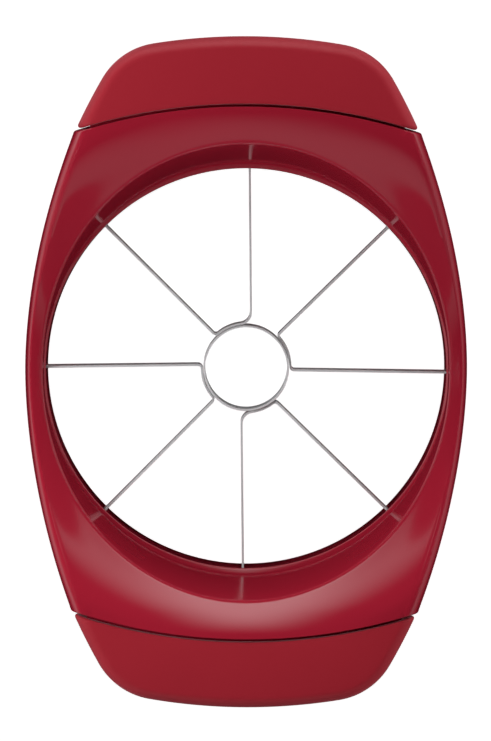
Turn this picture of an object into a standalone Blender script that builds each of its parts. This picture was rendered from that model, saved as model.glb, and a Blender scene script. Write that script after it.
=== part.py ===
"""Apple corer and slicer, seen from above in the photo: two red shells clamp four bent steel strips,
which make eight blade legs round a core ring, and a soft grip is sleeved over each handle.

Metres, +Z up. The foot stands on z = 0, the throat is centred on the Z axis, and +Y runs to the rear grip.
"""
import math

import bmesh
import bpy
from mathutils import Matrix, Vector

MM = 0.001

# Clearances
seat_gap = 0.3 * MM            # between pieces that touch
weld_gap = 0.1 * MM            # between a strip and the core ring that it is spot-welded to
seam_step = 0.2 * MM           # how far the frame stands proud of the grips at its corners
cut_overrun = 2.0 * MM
merge_distance = 0.01 * MM

# Plan of the body, out from the throat's axis
throat_radius = 50.0 * MM
side_cavity = 0.7 * MM         # inside the shells beside the throat, between two walls
side_flare = 1.8 * MM          # from the foot out to the widest outline
end_width = 17.1 * MM          # from the throat to its seam with a grip
side_drop = 14.94 * MM         # how far the side would have drawn in level with the seam's middle
side_drop_power = 1.85
seam_radius = 140.0 * MM
grip_length = 17.15 * MM
grip_end_radius = 146.0 * MM
grip_side_radius = 148.0 * MM
grip_corner_radius = 18.0 * MM

# Heights over the foot, at the sides and at the ends
ring_height = 16.0 * MM
side_wall_rise = 2.3 * MM      # from the ring's ledge to the crease
end_wall_rise = 20.5 * MM
side_crown = 1.5 * MM          # from the crease to the rim, at the sides
side_parting_drop = 8.8 * MM   # from the rim to the line where the shells meet, at the sides
under_height_side = 3.0 * MM
under_height_end = 26.0 * MM
handle_thickness = 16.5 * MM

# Section of the shells
shell_wall = 1.6 * MM
throat_draft = 0.6 * MM        # how far the throat opens from its foot up to its lip
side_base_width = 0.9 * MM     # from the throat to the upper wall's foot, on the ring's ledge
end_base_width = 2.0 * MM
side_wall_lean = 0.4 * MM      # from the upper wall's foot out to the crease
end_wall_lean = 5.3 * MM
ledge_drop = 1.2 * MM
end_cavity = 3.3 * MM          # inside the foot at the ends, between two walls
foot_chamfer = 0.6 * MM
foot_wall = 1.6 * MM
side_edge = 1.5 * MM           # how far the wall rounds in at its top, at the sides
corner_edge = 3.0 * MM         # and at the frame's corners, where the grips carry on
seam_edge = 0.4 * MM
under_edge_side = 1.0 * MM
crease_power = 0.8             # how soon the crease climbs from the sides to the ends
top_power = 1.5                # how the top falls away from its rim to the crease
rim_power = 3.2                # how square, in plan, the line is where the top starts to fall away
slope_step = 0.1 * MM          # run over which the top's slope is taken
wall_round_shares = ((0.5, 0.1), (0.8, 0.37), (0.93, 0.6), (1.0, 1.0))
inner_round_share = 0.37       # how much of the edge's rounding the shell's inside takes
skirt_shares = (0.2, 0.4, 0.6, 0.8, 1.0)
top_shares = (0.25, 0.5, 0.75)

# Sizes that follow from those above
foot_reach_side = throat_radius + 2.0 * shell_wall + side_cavity
foot_reach_end = throat_radius + 2.0 * shell_wall + end_cavity
body_half_width = foot_reach_side + side_flare
seam_reach = throat_radius + end_width
grip_reach = seam_reach + grip_length
wall_base_side = throat_radius + side_base_width
wall_base_end = throat_radius + end_base_width
crease_reach_side = wall_base_side + side_wall_lean
crease_reach_end = wall_base_end + end_wall_lean
crease_height_side = ring_height + side_wall_rise
crease_height_end = ring_height + end_wall_rise
rim_height_side = crease_height_side + side_crown
rim_height_end = under_height_end + handle_thickness
parting_height_side = rim_height_side - side_parting_drop
parting_height_end = under_height_end + handle_thickness / 2.0

# Grips and the tongues that carry them
grip_wall = 2.6 * MM
grip_round_shares = ((0.0, 1.25), (0.035, 0.65), (0.12, 0.27), (0.27, 0.06), (0.5, 0.0),
                     (0.73, 0.06), (0.88, 0.27), (0.965, 0.6), (1.0, 1.0))
grip_edge = 3.2 * MM

# Steel
steel_thickness = 0.55 * MM
grind_height = 1.6 * MM
blade_lift = 0.4 * MM          # from the foot's plate to the blades' edges
blade_low = foot_wall + blade_lift
blade_drop = 2.4 * MM          # from the top of the throat ring to the blades, which pass under its lip
blade_top = ring_height - blade_drop
blade_height = blade_top - blade_low
core_bore_radius = 10.3 * MM
core_wall = 0.5 * MM
core_overlap = 1.0 * MM        # how far the core ring passes the blades above and below
strip_radius = core_bore_radius + core_wall + weld_gap + steel_thickness / 2.0
tight_bend = 1.0 * MM
wide_bend = 3.0 * MM
leg_drift = 1.0 * MM           # a leg stands this far clockwise of its spoke, times its share
drift_near_core_share = 0.24   # where the first share of a leg is measured, in throat radii
leg_drift_shares = {
    "north": (1.16, 0.6), "northeast": (-0.23, -0.05),
    "east": (0.5, 0.8), "southeast": (0.62, -0.1),
    "south": (1.1, 0.5), "southwest": (-0.13, -0.48),
    "west": (0.7, 0.0), "northwest": (0.27, 0.0),
}

# Screws and their bosses
screw_offset_x = 24.0 * MM
screw_inset = 5.0 * MM         # from the seam
pad_drop = 2.4 * MM            # how far a lower boss stands out below the handle's underside
lower_boss_length = 6.4 * MM
boss_wall = 1.0 * MM
head_radius = 2.8 * MM
head_height = 1.6 * MM
head_round = 0.5 * MM
head_sink = 0.2 * MM           # how far a head lies below its pad's face
shank_radius = 1.3 * MM
shank_length = 11.0 * MM
point_length = 1.2 * MM
drive_width = 0.7 * MM
drive_span = 3.2 * MM
drive_depth = 0.9 * MM
pad_height = under_height_end - pad_drop
boss_split = pad_height + lower_boss_length
head_seat = pad_height + head_sink + head_height
head_hole_radius = head_radius + seat_gap
screw_hole_radius = shank_radius + seat_gap

# Counts
side_steps = 9
end_steps = 8
corner_steps = 5
grip_side_steps = 3
grip_end_steps = 5
core_steps = 48
bend_steps = 4
screw_steps = 20
boss_steps = 20
halvings = 50

strips = (
    ("blade_strip_east", 45.0, "northeast", "east", tight_bend),
    ("blade_strip_south", -45.0, "southeast", "south", wide_bend),
    ("blade_strip_west", -135.0, "southwest", "west", tight_bend),
    ("blade_strip_north", 135.0, "northwest", "north", wide_bend),
)
strip_turn = 45.0              # degrees clockwise from a strip's diagonal leg to its upright leg


def clear_scene():
    for item in list(bpy.data.objects):
        bpy.data.objects.remove(item)


def make_collection(name):
    collection = bpy.data.collections.new(name)
    bpy.context.scene.collection.children.link(collection)
    return collection


def make_material(name, colour, roughness, metallic=0.0):
    material = bpy.data.materials.new(name)
    material.use_nodes = True
    shader = material.node_tree.nodes["Principled BSDF"]
    shader.inputs["Base Color"].default_value = (*colour, 1.0)
    shader.inputs["Roughness"].default_value = roughness
    shader.inputs["Metallic"].default_value = metallic
    return material


def add_piece(name, data, material):
    piece = bpy.data.objects.new(name, data)
    parts.objects.link(piece)
    data.materials.append(material)
    return piece


def add_cutter(name, data):
    cutter = bpy.data.objects.new(name, data)
    cutters.objects.link(cutter)
    cutter.hide_render = True
    cutter.display_type = "WIRE"
    return cutter


def finish_mesh(name, shape):
    bmesh.ops.recalc_face_normals(shape, faces=shape.faces)
    mesh = bpy.data.meshes.new(name)
    shape.to_mesh(mesh)
    shape.free()
    mesh.shade_smooth()
    mesh.set_sharp_from_angle(angle=math.radians(35))
    return mesh


def add_boolean(piece, cutter, operation):
    modifier = piece.modifiers.new(f"{operation.lower()} {cutter.name}", "BOOLEAN")
    modifier.object = cutter
    modifier.operation = operation


def mix(first, last, share):
    return first + (last - first) * share


def ease(share):
    share = min(max(share, 0.0), 1.0)
    return share * share * (3.0 - 2.0 * share)


def circle_meet(first_centre, first_radius, second_centre, second_radius):
    """The crossing of two circles that lies furthest towards +X."""
    across = second_centre - first_centre
    span = across.length
    along = (first_radius ** 2 - second_radius ** 2 + span ** 2) / (2.0 * span)
    height = math.sqrt(first_radius ** 2 - along ** 2)
    foot = first_centre + across * (along / span)
    offset = Vector((-across.y, across.x)) * (height / span)
    return max(foot + offset, foot - offset, key=lambda spot: spot.x)


def arc_points(centre, start, end, steps):
    """Points of the short arc round centre from start to end, both ends included."""
    first = start - centre
    sweep = first.angle_signed(end - centre)
    points = []
    for step in range(steps + 1):
        turned = first.copy()
        turned.rotate(Matrix.Rotation(-sweep * step / steps, 2))
        points.append(centre + turned)
    return points


# Outlines in plan
seam_centre = Vector((0.0, seam_reach - seam_radius))


def side_half_width(y):
    return body_half_width - side_drop * (abs(y) / seam_reach) ** side_drop_power


def seam_y(x, back):
    return seam_centre.y + math.sqrt((seam_radius + back) ** 2 - x ** 2)


def find_corner(side, back):
    """The Y at which a side, given as a function of Y, meets the seam moved back; found by halving."""
    low, high = 0.0, seam_reach
    for _ in range(halvings):
        middle = (low + high) / 2.0
        if middle < seam_y(side(middle), back):
            low = middle
        else:
            high = middle
    return low


corner_y = find_corner(side_half_width, 0.0)


def climb(y):
    """How far the body has climbed towards its handles, from 0 at the sides to 1."""
    return ease(abs(y) / corner_y)


def frame_outline(edge=0.0, share=0.0, inset=0.0):
    """Plan points right round the frame from +X, all drawn in by inset and by a share of the edge's rounding.

    The rounding is edge at the sides, grows to corner_edge at the corners, and is seam_edge along the seams.
    """
    def side(y):
        return side_half_width(y) - mix(edge, corner_edge, climb(y)) * share - inset

    back = -seam_edge * share - inset
    side_end = find_corner(side, back)
    side_places = [side_end * step / side_steps for step in range(side_steps + 1)]
    quarter = [Vector((side(y), y)) for y in side_places]
    seam_end = side(side_end)
    seam_places = [seam_end * (1.0 - step / end_steps) for step in range(1, end_steps + 1)]
    quarter += [Vector((x, seam_y(x, back))) for x in seam_places]
    half = quarter + [Vector((-spot.x, spot.y)) for spot in reversed(quarter[:-1])]
    return half + [-spot for spot in half[1:-1]]


def handle_outline(inset, back):
    """Half of the rear grip's outline at +X, from its seam to the Y axis, drawn in by inset.

    Its seam edge lies back towards +Y of the frame's seam.
    """
    side_reach = side_half_width(corner_y) - seam_step
    side_centre = Vector((side_reach - math.sqrt(grip_side_radius ** 2 - corner_y ** 2), 0.0))
    end_centre = Vector((0.0, grip_reach - grip_end_radius))
    round_centre = circle_meet(side_centre, grip_side_radius - grip_corner_radius,
                               end_centre, grip_end_radius - grip_corner_radius)
    start = circle_meet(side_centre, grip_side_radius - inset, seam_centre, seam_radius + back)
    side_end = side_centre + (round_centre - side_centre).normalized() * (grip_side_radius - inset)
    end_start = end_centre + (round_centre - end_centre).normalized() * (grip_end_radius - inset)
    tip = Vector((0.0, grip_reach - inset))
    points = arc_points(side_centre, start, side_end, grip_side_steps)
    points += arc_points(round_centre, side_end, end_start, corner_steps)[1:]
    points += arc_points(end_centre, end_start, tip, grip_end_steps)[1:]
    return points


def handle_loop(inset, back):
    """The whole closed outline of the rear grip, its seam edge last."""
    half = handle_outline(inset, back)
    outer = half + [Vector((-spot.x, spot.y)) for spot in reversed(half[:-1])]
    return outer + arc_points(seam_centre, outer[-1], outer[0], 2 * grip_end_steps)[1:-1]


# Form of the frame
def toward_end(spot):
    """0 where a point lies square to the handles from the throat's axis, 1 where it is in line with them."""
    return (spot.y / spot.length) ** 2


def crease_point(spot):
    """The point of the crease, between the throat's wall and the top, on the spoke through a plan point."""
    plan = spot.normalized() * mix(crease_reach_side, crease_reach_end, toward_end(spot))
    rise_share = toward_end(spot) ** crease_power
    return Vector((*plan, mix(crease_height_side, crease_height_end, rise_share)))


def top_height(spot):
    """Height of the top over a plan point: level by the rim, and falling away to the crease."""
    heading = spot.normalized()
    crease = crease_point(spot)
    half_length = seam_reach - seam_edge
    half_width = body_half_width - side_edge
    squared = (abs(heading.x) / half_width) ** rim_power + (abs(heading.y) / half_length) ** rim_power
    rim_reach = squared ** (-1.0 / rim_power)
    share = (spot.length - crease.xy.length) / (rim_reach - crease.xy.length)
    fall = (1.0 - min(max(share, 0.0), 1.0)) ** top_power
    return mix(mix(rim_height_side, rim_height_end, climb(spot.y)), crease.z, fall)


def top_slope(spot):
    """How steeply the top rises outward over a plan point."""
    step = spot.normalized() * slope_step
    return (top_height(spot + step) - top_height(spot)) / slope_step


def below_top(spot, depth):
    """Height of the surface that lies depth inside the top, over a plan point."""
    return top_height(spot) - depth * math.hypot(1.0, top_slope(spot))


def lift(outline, heights):
    return [Vector((*spot, height)) for spot, height in zip(outline, heights)]


def ring_round(outline, side, end, height):
    """A level ring of points on the outline's spokes, its radius side at the sides and end at the ends."""
    return [Vector((*(spot.normalized() * mix(side, end, toward_end(spot))), height)) for spot in outline]


def wall_layers(edge, lows, highs):
    """Outlines up or down a wall, from lows at the parting to highs, where its edge rounds in."""
    layers = []
    for height_share, inset_share in wall_round_shares:
        outline = frame_outline(edge, inset_share)
        layers.append(lift(outline, [mix(low, high, height_share) for low, high in zip(lows, highs)]))
    return layers


def between(first, last, share):
    return [a.lerp(b, share) for a, b in zip(first, last)]


def inner_crease(spot):
    """The crease's point on the shell's inside: the mitre of the throat's wall and the top."""
    crease = crease_point(spot)
    base_reach = mix(wall_base_side, wall_base_end, toward_end(spot))
    reach = crease.xy.length
    wall_normal = Vector((crease.z - ring_height, base_reach - reach)).normalized()
    top_normal = Vector((top_slope(crease.xy), -1.0)).normalized()
    mitre = (wall_normal + top_normal) * (shell_wall / (1.0 + wall_normal.dot(top_normal)))
    plan = spot.normalized() * (reach + mitre.x)
    return Vector((*plan, crease.z + mitre.y))


def upper_layers():
    """The upper shell's section as outlines: up its outside, over its top, down the throat, back inside."""
    outline = frame_outline()
    lows = [mix(parting_height_side, parting_height_end, climb(spot.y)) + seat_gap / 2.0 for spot in outline]
    rim = frame_outline(side_edge, 1.0)
    layers = [lift(outline, lows)] + wall_layers(side_edge, lows, [top_height(spot) for spot in rim])
    crease = [crease_point(spot) for spot in outline]
    for share in reversed(top_shares):
        plan = [start.xy.lerp(end, share) for start, end in zip(crease, rim)]
        layers.append(lift(plan, [top_height(spot) for spot in plan]))
    layers.append(crease)
    base = ring_height + seat_gap
    layers.append(ring_round(outline, wall_base_side, wall_base_end, base))
    layers.append(ring_round(outline, wall_base_side + shell_wall, wall_base_end + shell_wall, base))

    inner_start = [inner_crease(spot) for spot in outline]
    inner_rim = frame_outline(side_edge, inner_round_share, shell_wall)
    layers.append(inner_start)
    for share in (*top_shares, 1.0):
        plan = [start.xy.lerp(end, share) for start, end in zip(inner_start, inner_rim)]
        layers.append(lift(plan, [below_top(spot, shell_wall) for spot in plan]))
    layers.append(lift(frame_outline(inset=shell_wall), lows))
    return layers


def lower_layers():
    """The lower shell's section as outlines: down its outside, under its foot, up the throat, back inside."""
    outline = frame_outline()
    highs = [mix(parting_height_side, parting_height_end, climb(spot.y)) - seat_gap / 2.0 for spot in outline]
    unders = [mix(under_height_side, under_height_end, climb(spot.y)) for spot in outline]
    layers = [lift(outline, highs)] + wall_layers(under_edge_side, highs, unders)
    foot = [spot.xy for spot in ring_round(outline, foot_reach_side, foot_reach_end, 0.0)]
    under_edge = [spot.xy for spot in layers[-1]]
    for share in reversed(skirt_shares):
        plan = between(foot, under_edge, share ** 2)
        layers.append(lift(plan, [under * (1.0 - (1.0 - share) ** 3) for under in unders]))
    layers.append(lift(foot, [foot_chamfer] * len(foot)))
    layers.append(ring_round(outline, foot_reach_side - foot_chamfer, foot_reach_end - foot_chamfer, 0.0))
    lip_radius = throat_radius + throat_draft
    for radius, height in ((throat_radius + foot_chamfer, 0.0), (throat_radius, foot_chamfer),
                           (lip_radius, ring_height - ledge_drop)):
        layers.append(ring_round(outline, radius, radius, height))
    layers.append(ring_round(outline, wall_base_side, wall_base_end, ring_height))

    layers.append(ring_round(outline, wall_base_side + shell_wall, wall_base_end + shell_wall, ring_height))
    layers.append(ring_round(outline, throat_radius + shell_wall, throat_radius + shell_wall, foot_wall))
    inner_foot = ring_round(outline, foot_reach_side - shell_wall, foot_reach_end - shell_wall, foot_wall)
    inner_wall = frame_outline(inset=shell_wall)
    layers.append(inner_foot)
    for share in skirt_shares:
        plan = between([spot.xy for spot in inner_foot], inner_wall, share ** 2)
        rises = [(under + shell_wall - foot_wall) * (1.0 - (1.0 - share) ** 3) for under in unders]
        layers.append(lift(plan, [foot_wall + rise for rise in rises]))
    layers.append(lift(inner_wall, highs))
    return layers


def add_shell(name, layers, material):
    """Joins closed outlines into a shell whose section closes on itself."""
    shape = bmesh.new()
    rings = [[shape.verts.new(spot) for spot in layer] for layer in layers]
    for ring, following in zip(rings, rings[1:] + rings[:1]):
        join_rings(shape, ring, following)
    return add_piece(name, finish_mesh(name, shape), material)


def join_rings(shape, ring, following):
    for spot in range(len(ring)):
        beside = (spot + 1) % len(ring)
        shape.faces.new((ring[spot], ring[beside], following[beside], following[spot]))


def add_layers(shape, layers, sign):
    """Joins closed outlines, each a pair of height and plan points, and caps the first and the last."""
    rings = []
    for height, outline in layers:
        rings.append([shape.verts.new((spot.x * sign, spot.y * sign, height)) for spot in outline])
    for ring, following in zip(rings, rings[1:]):
        join_rings(shape, ring, following)
    shape.faces.new(rings[0])
    shape.faces.new(rings[-1])


def add_cylinder(shape, x, y, low, high, radius):
    """An upright cylinder round a screw's axis."""
    place = Matrix.Translation((x, y, (low + high) / 2.0))
    made = bmesh.ops.create_cone(shape, cap_ends=True, segments=boss_steps, radius1=radius, radius2=radius,
                                 depth=high - low, matrix=place)
    return made["verts"]


def add_hole(shape, x, y, low, high, radius):
    """A cylinder to cut with, its facets half a step away from those of the boss round it."""
    hole = add_cylinder(shape, x, y, low, high, radius)
    half_step = Matrix.Rotation(math.pi / boss_steps, 3, "Z")
    bmesh.ops.rotate(shape, verts=hole, cent=(x, y, 0.0), matrix=half_step)


screw_y = seam_y(screw_offset_x, -screw_inset)
screw_places = [(screw_offset_x * across, screw_y * along) for along in (1, -1) for across in (1, -1)]


# Shells
def add_tongues(name, low, high):
    shape = bmesh.new()
    outline = handle_loop(grip_wall + seat_gap, -shell_wall / 2.0)
    for sign in (1, -1):
        add_layers(shape, [(low, outline), (high, outline)], sign)
    return add_cutter(name, finish_mesh(name, shape))


def make_upper_frame():
    frame = add_shell("upper_frame", upper_layers(), gloss_red)
    tongue_low = parting_height_end + seat_gap
    tongue_high = rim_height_end - grip_wall - seat_gap
    add_boolean(frame, add_tongues("upper_tongues", tongue_low, tongue_high), "UNION")
    shape = bmesh.new()
    radius = screw_hole_radius + boss_wall
    for x, y in screw_places:
        boss = add_cylinder(shape, x, y, boss_split + seat_gap / 2.0, rim_height_end, radius)
        for vertex in boss:
            if vertex.co.z > boss_split + seat_gap:
                vertex.co.z = below_top(vertex.co.xy, shell_wall / 2.0)
    add_boolean(frame, add_cutter("upper_bosses", finish_mesh("upper_bosses", shape)), "UNION")
    shape = bmesh.new()
    tip = head_seat + shank_length + seat_gap
    for x, y in screw_places:
        add_hole(shape, x, y, boss_split - cut_overrun, tip, screw_hole_radius)
    add_boolean(frame, add_cutter("pilot_holes", finish_mesh("pilot_holes", shape)), "DIFFERENCE")


def make_lower_frame():
    frame = add_shell("lower_frame", lower_layers(), gloss_red)
    tongue_low = under_height_end + grip_wall + seat_gap
    tongue_high = parting_height_end - seat_gap
    add_boolean(frame, add_tongues("lower_tongues", tongue_low, tongue_high), "UNION")
    shape = bmesh.new()
    for x, y in screw_places:
        add_cylinder(shape, x, y, pad_height, boss_split - seat_gap / 2.0, head_hole_radius + boss_wall)
    add_boolean(frame, add_cutter("lower_bosses", finish_mesh("lower_bosses", shape)), "UNION")
    shape = bmesh.new()
    for x, y in screw_places:
        add_hole(shape, x, y, pad_height - cut_overrun, boss_split + cut_overrun, screw_hole_radius)
    add_boolean(frame, add_cutter("clearance_holes", finish_mesh("clearance_holes", shape)), "DIFFERENCE")
    shape = bmesh.new()
    for x, y in screw_places:
        add_hole(shape, x, y, pad_height - cut_overrun, head_seat + seat_gap, head_hole_radius)
    add_boolean(frame, add_cutter("head_recesses", finish_mesh("head_recesses", shape)), "DIFFERENCE")
    add_boolean(frame, make_slot_cutter(), "DIFFERENCE")


# Blades
def leg_line(leg, azimuth):
    """A leg's outward heading, the clockwise way square to it, its drift off the axis and its tip.

    The tip is flush with the back of the throat ring.
    """
    out = Vector((math.cos(azimuth), math.sin(azimuth)))
    clockwise = Vector((out.y, -out.x))
    near_share, far_share = leg_drift_shares[leg]
    near = out * throat_radius * drift_near_core_share + clockwise * leg_drift * near_share
    far = out * throat_radius + clockwise * leg_drift * far_share
    heading = (far - near).normalized()
    aside = Vector((heading.y, -heading.x))
    drift = near.dot(aside)
    tip_reach = mix(wall_base_side, wall_base_end, out.y ** 2) + shell_wall
    tip = heading * math.sqrt(tip_reach ** 2 - drift ** 2) + aside * drift
    return heading, aside, drift, tip


def leg_points(leg, azimuth, turn, bend):
    """A leg from its tip to where it lies on the core ring; turn is 1 where it bends clockwise."""
    heading, aside, drift, tip = leg_line(leg, azimuth)
    square = drift + turn * bend
    along = math.sqrt((strip_radius + bend) ** 2 - square ** 2)
    centre = heading * along + aside * square
    leaves_leg = heading * along + aside * drift
    meets_ring = centre * (strip_radius / (strip_radius + bend))
    return [tip] + arc_points(centre, leaves_leg, meets_ring, bend_steps)


def strip_points(azimuth, first_leg, last_leg, last_bend):
    first = leg_points(first_leg, azimuth, 1, tight_bend)
    last = leg_points(last_leg, azimuth - math.radians(strip_turn), -1, last_bend)
    start = math.atan2(first[-1].y, first[-1].x)
    sweep = (start - math.atan2(last[-1].y, last[-1].x)) % math.tau
    step = math.tau / core_steps
    marks = [mark * step for mark in range(-core_steps, core_steps + 1)]
    wrap = [mark for mark in reversed(marks) if start - sweep + step / 4.0 < mark < start - step / 4.0]
    ring = [Vector((math.cos(mark), math.sin(mark))) * strip_radius for mark in wrap]
    return first + ring + last[::-1]


def make_strip_profile():
    """A strip's cross-section, square at its top and ground to an edge below."""
    half = steel_thickness / 2.0
    corners = [(-half, blade_height), (half, blade_height), (half, grind_height)]
    corners += [(0.0, 0.0), (-half, grind_height)]
    curve = bpy.data.curves.new("strip_profile", "CURVE")
    curve.dimensions = "2D"
    curve.render_resolution_u = 0
    line = curve.splines.new("POLY")
    line.points.add(len(corners) - 1)
    line.use_cyclic_u = True
    for point, (x, y) in zip(line.points, corners):
        point.co = (x, y, 0.0, 1.0)
    return add_cutter("strip_profile", curve)


def make_blade_strips():
    profile = make_strip_profile()
    for name, degrees, first_leg, last_leg, last_bend in strips:
        spots = strip_points(math.radians(degrees), first_leg, last_leg, last_bend)
        curve = bpy.data.curves.new(name, "CURVE")
        curve.dimensions = "2D"
        curve.bevel_mode = "OBJECT"
        curve.bevel_object = profile
        curve.use_fill_caps = True
        curve.render_resolution_u = 0
        line = curve.splines.new("POLY")
        line.points.add(len(spots) - 1)
        for point, spot in zip(line.points, spots):
            point.co = (spot.x, spot.y, 0.0, 1.0)
        strip = add_piece(name, curve, blade_steel)
        strip.location.z = blade_low


def make_slot_cutter():
    """The eight slots through the throat ring, under its lip, each a little larger than a strip."""
    shape = bmesh.new()
    low = blade_low - seat_gap
    high = blade_top + seat_gap
    width = steel_thickness + 2.0 * seat_gap
    for name, degrees, first_leg, last_leg, last_bend in strips:
        for leg, azimuth in ((first_leg, degrees), (last_leg, degrees - strip_turn)):
            heading, aside, drift, tip = leg_line(leg, math.radians(azimuth))
            end = tip + heading * seat_gap
            length = end.dot(heading) - throat_radius + cut_overrun
            middle = end - heading * length / 2.0
            place = Matrix.Translation((middle.x, middle.y, (low + high) / 2.0))
            place @= Matrix.Rotation(math.atan2(heading.y, heading.x), 4, "Z")
            place @= Matrix.Diagonal((length, width, high - low, 1.0))
            bmesh.ops.create_cube(shape, size=1.0, matrix=place)
    return add_cutter("blade_slots", finish_mesh("blade_slots", shape))


def add_turned(name, profile, closed, steps, material):
    """Turns a profile of radius and height round the Z axis."""
    shape = bmesh.new()
    spots = [shape.verts.new((radius, 0.0, height)) for radius, height in profile]
    for spot, following in zip(spots, spots[1:]):
        shape.edges.new((spot, following))
    if closed:
        shape.edges.new((spots[-1], spots[0]))
    mesh = bpy.data.meshes.new(name)
    shape.to_mesh(mesh)
    shape.free()
    piece = add_piece(name, mesh, material)
    turning = piece.modifiers.new("turning", "SCREW")
    turning.steps = steps
    turning.render_steps = steps
    turning.use_merge_vertices = True
    turning.merge_threshold = merge_distance
    return piece


def make_core_ring():
    outer = core_bore_radius + core_wall
    low = blade_low - core_overlap
    high = blade_top + core_overlap
    profile = ((outer, high), (outer, low + grind_height), (core_bore_radius, low), (core_bore_radius, high))
    add_turned("core_ring", profile, True, core_steps, blade_steel)


# Screws
def make_drive():
    """The cross recess of a screw's head."""
    arm = ((drive_span, -drive_width), (drive_span, drive_width), (drive_width, drive_width))
    cross = []
    for quarter in range(4):
        for spot in arm:
            cross.append(Matrix.Rotation(math.radians(90.0) * quarter, 2) @ Vector(spot) / 2.0)
    shape = bmesh.new()
    add_layers(shape, [(-head_height - cut_overrun, cross), (drive_depth - head_height, cross)], 1)
    return finish_mesh("screw_drive", shape)


def make_screws():
    """Self-tapping screws from below, their heads down in the shell's round pads."""
    profile = [(0.0, shank_length), (shank_radius / 3.0, shank_length)]
    profile += [(shank_radius, shank_length - point_length), (shank_radius, 0.0), (head_radius, 0.0)]
    profile += [(head_radius, head_round - head_height), (head_radius - head_round, -head_height)]
    profile += [(0.0, -head_height)]
    drive = make_drive()
    for index, (x, y) in enumerate(screw_places):
        screw = add_turned(f"frame_screw_{index + 1}", profile, False, screw_steps, screw_steel)
        recess = add_cutter(f"screw_drive_{index + 1}", drive)
        for item in (screw, recess):
            item.location = (x, y, head_seat)
        add_boolean(screw, recess, "DIFFERENCE")


# Grips
def make_grip(name, sign):
    layers = []
    for height_share, inset_share in grip_round_shares:
        level = under_height_end + handle_thickness * height_share
        layers.append((level, handle_loop(grip_edge * inset_share, seat_gap)))
    shape = bmesh.new()
    add_layers(shape, layers, sign)
    grip = add_piece(name, finish_mesh(name, shape), soft_red)
    pocket = bmesh.new()
    outline = handle_loop(grip_wall, -cut_overrun)
    low = under_height_end + grip_wall
    high = rim_height_end - grip_wall
    add_layers(pocket, [(low, outline), (high, outline)], sign)
    add_boolean(grip, add_cutter(f"{name}_pocket", finish_mesh(f"{name}_pocket", pocket)), "DIFFERENCE")


clear_scene()
parts = make_collection("apple_corer")
cutters = make_collection("cutters")
gloss_red = make_material("gloss_red", (0.22, 0.008, 0.015), 0.12)
soft_red = make_material("soft_red", (0.28, 0.016, 0.03), 0.6)
blade_steel = make_material("blade_steel", (0.42, 0.43, 0.45), 0.28, 1.0)
screw_steel = make_material("screw_steel", (0.5, 0.5, 0.5), 0.35, 1.0)
make_upper_frame()
make_lower_frame()
make_grip("rear_grip", 1)
make_grip("front_grip", -1)
make_core_ring()
make_blade_strips()
make_screws()
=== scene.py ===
"""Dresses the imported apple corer: finer shells, grips, steel and screws, then a pale studio round it."""
import math

import bmesh
import bpy
from bpy.props import FloatProperty, FloatVectorProperty, IntProperty, PointerProperty
from mathutils import Matrix, Vector


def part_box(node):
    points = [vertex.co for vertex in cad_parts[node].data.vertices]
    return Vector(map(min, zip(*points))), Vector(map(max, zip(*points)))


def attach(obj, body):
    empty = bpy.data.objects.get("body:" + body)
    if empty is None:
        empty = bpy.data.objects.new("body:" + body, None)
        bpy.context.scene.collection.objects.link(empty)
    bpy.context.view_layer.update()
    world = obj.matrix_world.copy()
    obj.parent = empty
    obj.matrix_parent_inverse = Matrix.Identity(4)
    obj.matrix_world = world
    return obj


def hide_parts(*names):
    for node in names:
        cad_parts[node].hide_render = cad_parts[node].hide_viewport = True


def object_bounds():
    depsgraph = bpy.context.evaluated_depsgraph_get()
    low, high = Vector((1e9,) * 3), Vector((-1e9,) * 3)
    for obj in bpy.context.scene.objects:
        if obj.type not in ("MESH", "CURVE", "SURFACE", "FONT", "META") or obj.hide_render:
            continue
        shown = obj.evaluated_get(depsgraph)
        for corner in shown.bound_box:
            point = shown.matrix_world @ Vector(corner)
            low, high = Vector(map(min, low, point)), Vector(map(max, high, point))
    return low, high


bl_info = {
    "name": "Apple Corer Dresser",
    "version": (1, 0, 0),
    "blender": (4, 5, 0),
    "location": "3D View > Sidebar > Apple Corer",
    "description": "Models the visible pieces of an apple corer and slicer round its packed solids",
    "category": "Object",
}

MM = 0.001

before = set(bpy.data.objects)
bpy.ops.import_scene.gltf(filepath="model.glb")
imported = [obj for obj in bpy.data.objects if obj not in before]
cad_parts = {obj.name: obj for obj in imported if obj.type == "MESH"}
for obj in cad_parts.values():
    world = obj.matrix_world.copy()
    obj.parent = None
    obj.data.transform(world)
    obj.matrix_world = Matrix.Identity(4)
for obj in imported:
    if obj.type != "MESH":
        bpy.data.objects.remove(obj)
cad_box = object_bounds()
ring_low, ring_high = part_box("core_ring")
screw_boxes = [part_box(f"frame_screw_{index}") for index in range(1, 5)]

# Frame
seat_gap = 0.3 * MM
seam_step = 0.2 * MM
side_drop = 14.94 * MM
side_drop_power = 1.85
grip_end_radius = 146.0 * MM
grip_side_radius = 148.0 * MM
grip_corner_radius = 18.0 * MM
parting_side = 11.0 * MM
parting_end = 34.25 * MM
under_side = 3.0 * MM
under_end = 26.0 * MM
foot_side = 53.9 * MM
foot_end = 56.5 * MM
base_side = 50.9 * MM
base_end = 52.0 * MM
shell_wall = 1.6 * MM
foot_wall = 1.6 * MM
foot_chamfer = 0.6 * MM
parting_chamfer = 0.25 * MM
seam_edge = 0.4 * MM
under_edge = 1.0 * MM
plan_corner = 0.7 * MM
crease_round = 0.9 * MM
crease_power = 0.8
throat_draft = 0.4 * MM
base_round = 0.2 * MM
ledge_drop = 0.8 * MM
ledge_round = 0.5 * MM
top_power = 1.5
rim_power = 3.2
slope_step = 0.1 * MM
longest_round_share = 0.4
top_spacing = 0.85
crease_shares = (0.17, 0.34, 0.5, 0.66, 0.83, 1.0)
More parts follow.
